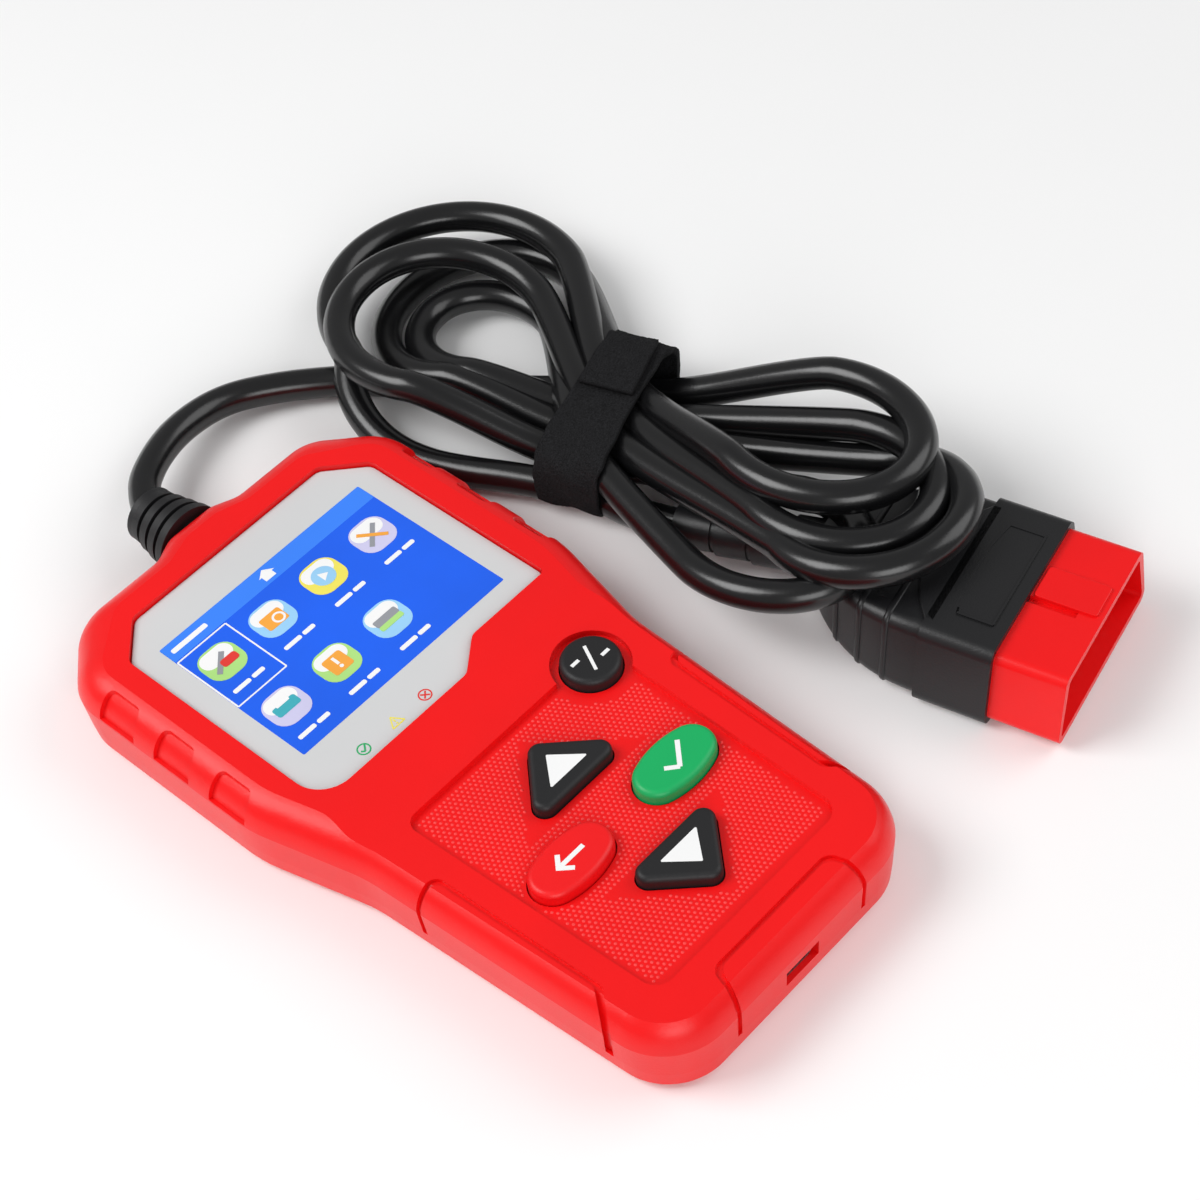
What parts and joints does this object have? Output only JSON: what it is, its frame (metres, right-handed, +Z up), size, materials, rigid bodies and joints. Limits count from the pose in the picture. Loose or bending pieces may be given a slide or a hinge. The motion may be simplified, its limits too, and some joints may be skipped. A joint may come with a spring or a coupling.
{
  "type": "obd code reader",
  "caption": "Hand-held vehicle fault-code reader with a colour screen, sprung rubber keys, and a tied cable that ends in a diagnostic plug.",
  "frame": {"origin": "on the flat back that the unit lies on, at the middle of its width and near the middle of its length", "axes": "+X to the unit's right seen from the front, +Y towards the cable end, +Z up through the screen"},
  "size_m": [0.1672, 0.2142, 0.031],
  "materials": {
    "housing_red": "satin bright red moulded plastic",
    "label": "plain silver-grey label",
    "plate_grey": "light grey printed window plate",
    "lcd_glass": "colour display, blue menu picture",
    "tray_metal": "stamped display tray",
    "ribbon": "amber flexible circuit",
    "key_black": "matte black silicone rubber",
    "key_green": "green silicone rubber",
    "key_red": "red silicone rubber",
    "mark_white": "white printed triangle",
    "mat_grey": "silicone keypad mat",
    "board_green": "green solder-masked circuit board",
    "chip_black": "moulded chip bodies",
    "led": "light-emitting diodes",
    "guide_clear": "clear light guides",
    "socket_white": "nylon wire socket",
    "wire": "insulated wires",
    "socket_metal": "nickel-plated data socket",
    "relief_rubber": "matte black strain relief",
    "plug_black": "satin black overmould",
    "plug_red": "satin red plug shroud",
    "carrier_red": "red pin carrier",
    "pin_metal": "nickel-plated brass blades",
    "cable_black": "glossy black vinyl cable",
    "tie_fabric": "black hook-and-loop fabric",
    "screw_steel": "zinc-plated screws",
    "contact_pill": "carbon-filled rubber pills"
  },
  "bodies": {
    "root": {"front_shell": "housing_red", "back_shell": "housing_red", "rear_label": "label", "display_plate": "plate_grey", "lcd_panel": "lcd_glass", "lcd_tray": "tray_metal", "lcd_ribbon": "ribbon", "keypad_mat": "mat_grey", "main_board": "board_green", "board_chips": "chip_black", "status_leds": "led", "light_guides": "guide_clear", "buzzer": "chip_black", "cable_socket": "socket_white", "cable_wires": "wire", "usb_socket": "socket_metal", "cable_strain_relief": "relief_rubber", "plug_overmold": "plug_black", "plug_shroud": "plug_red", "plug_pin_carrier": "carrier_red", "plug_pins": "pin_metal", "plug_relief": "plug_black", "folded_cable": "cable_black", "cable_lead": "cable_black", "cable_tail": "cable_black", "cable_tie": "tie_fabric", "housing_screws": "screw_steel", "board_screws": "screw_steel"},
    "up_key": {"up_key": "key_black", "up_key_arrow": "mark_white", "up_key_contact": "contact_pill"},
    "down_key": {"down_key": "key_black", "down_key_arrow": "mark_white", "down_key_contact": "contact_pill"},
    "back_key": {"back_key": "key_red", "back_key_contact": "contact_pill"},
    "enter_key": {"enter_key": "key_green", "enter_key_contact": "contact_pill"},
    "round_key": {"round_key": "key_black", "round_key_contact": "contact_pill"}
  },
  "joints": [
    {"name": "up_key_press", "type": "slide", "parent": "root", "child": "up_key", "axis": [0, 0, -1], "range_m": [0, 0.001], "stiffness_N_per_m": 1200},
    {"name": "down_key_press", "type": "slide", "parent": "root", "child": "down_key", "axis": [0, 0, -1], "range_m": [0, 0.001], "stiffness_N_per_m": 1200},
    {"name": "back_key_press", "type": "slide", "parent": "root", "child": "back_key", "axis": [0, 0, -1], "range_m": [0, 0.001], "stiffness_N_per_m": 1200},
    {"name": "enter_key_press", "type": "slide", "parent": "root", "child": "enter_key", "axis": [0, 0, -1], "range_m": [0, 0.001], "stiffness_N_per_m": 1200},
    {"name": "round_key_press", "type": "slide", "parent": "root", "child": "round_key", "axis": [0, 0, -1], "range_m": [0, 0.001], "stiffness_N_per_m": 1200}
  ]
}
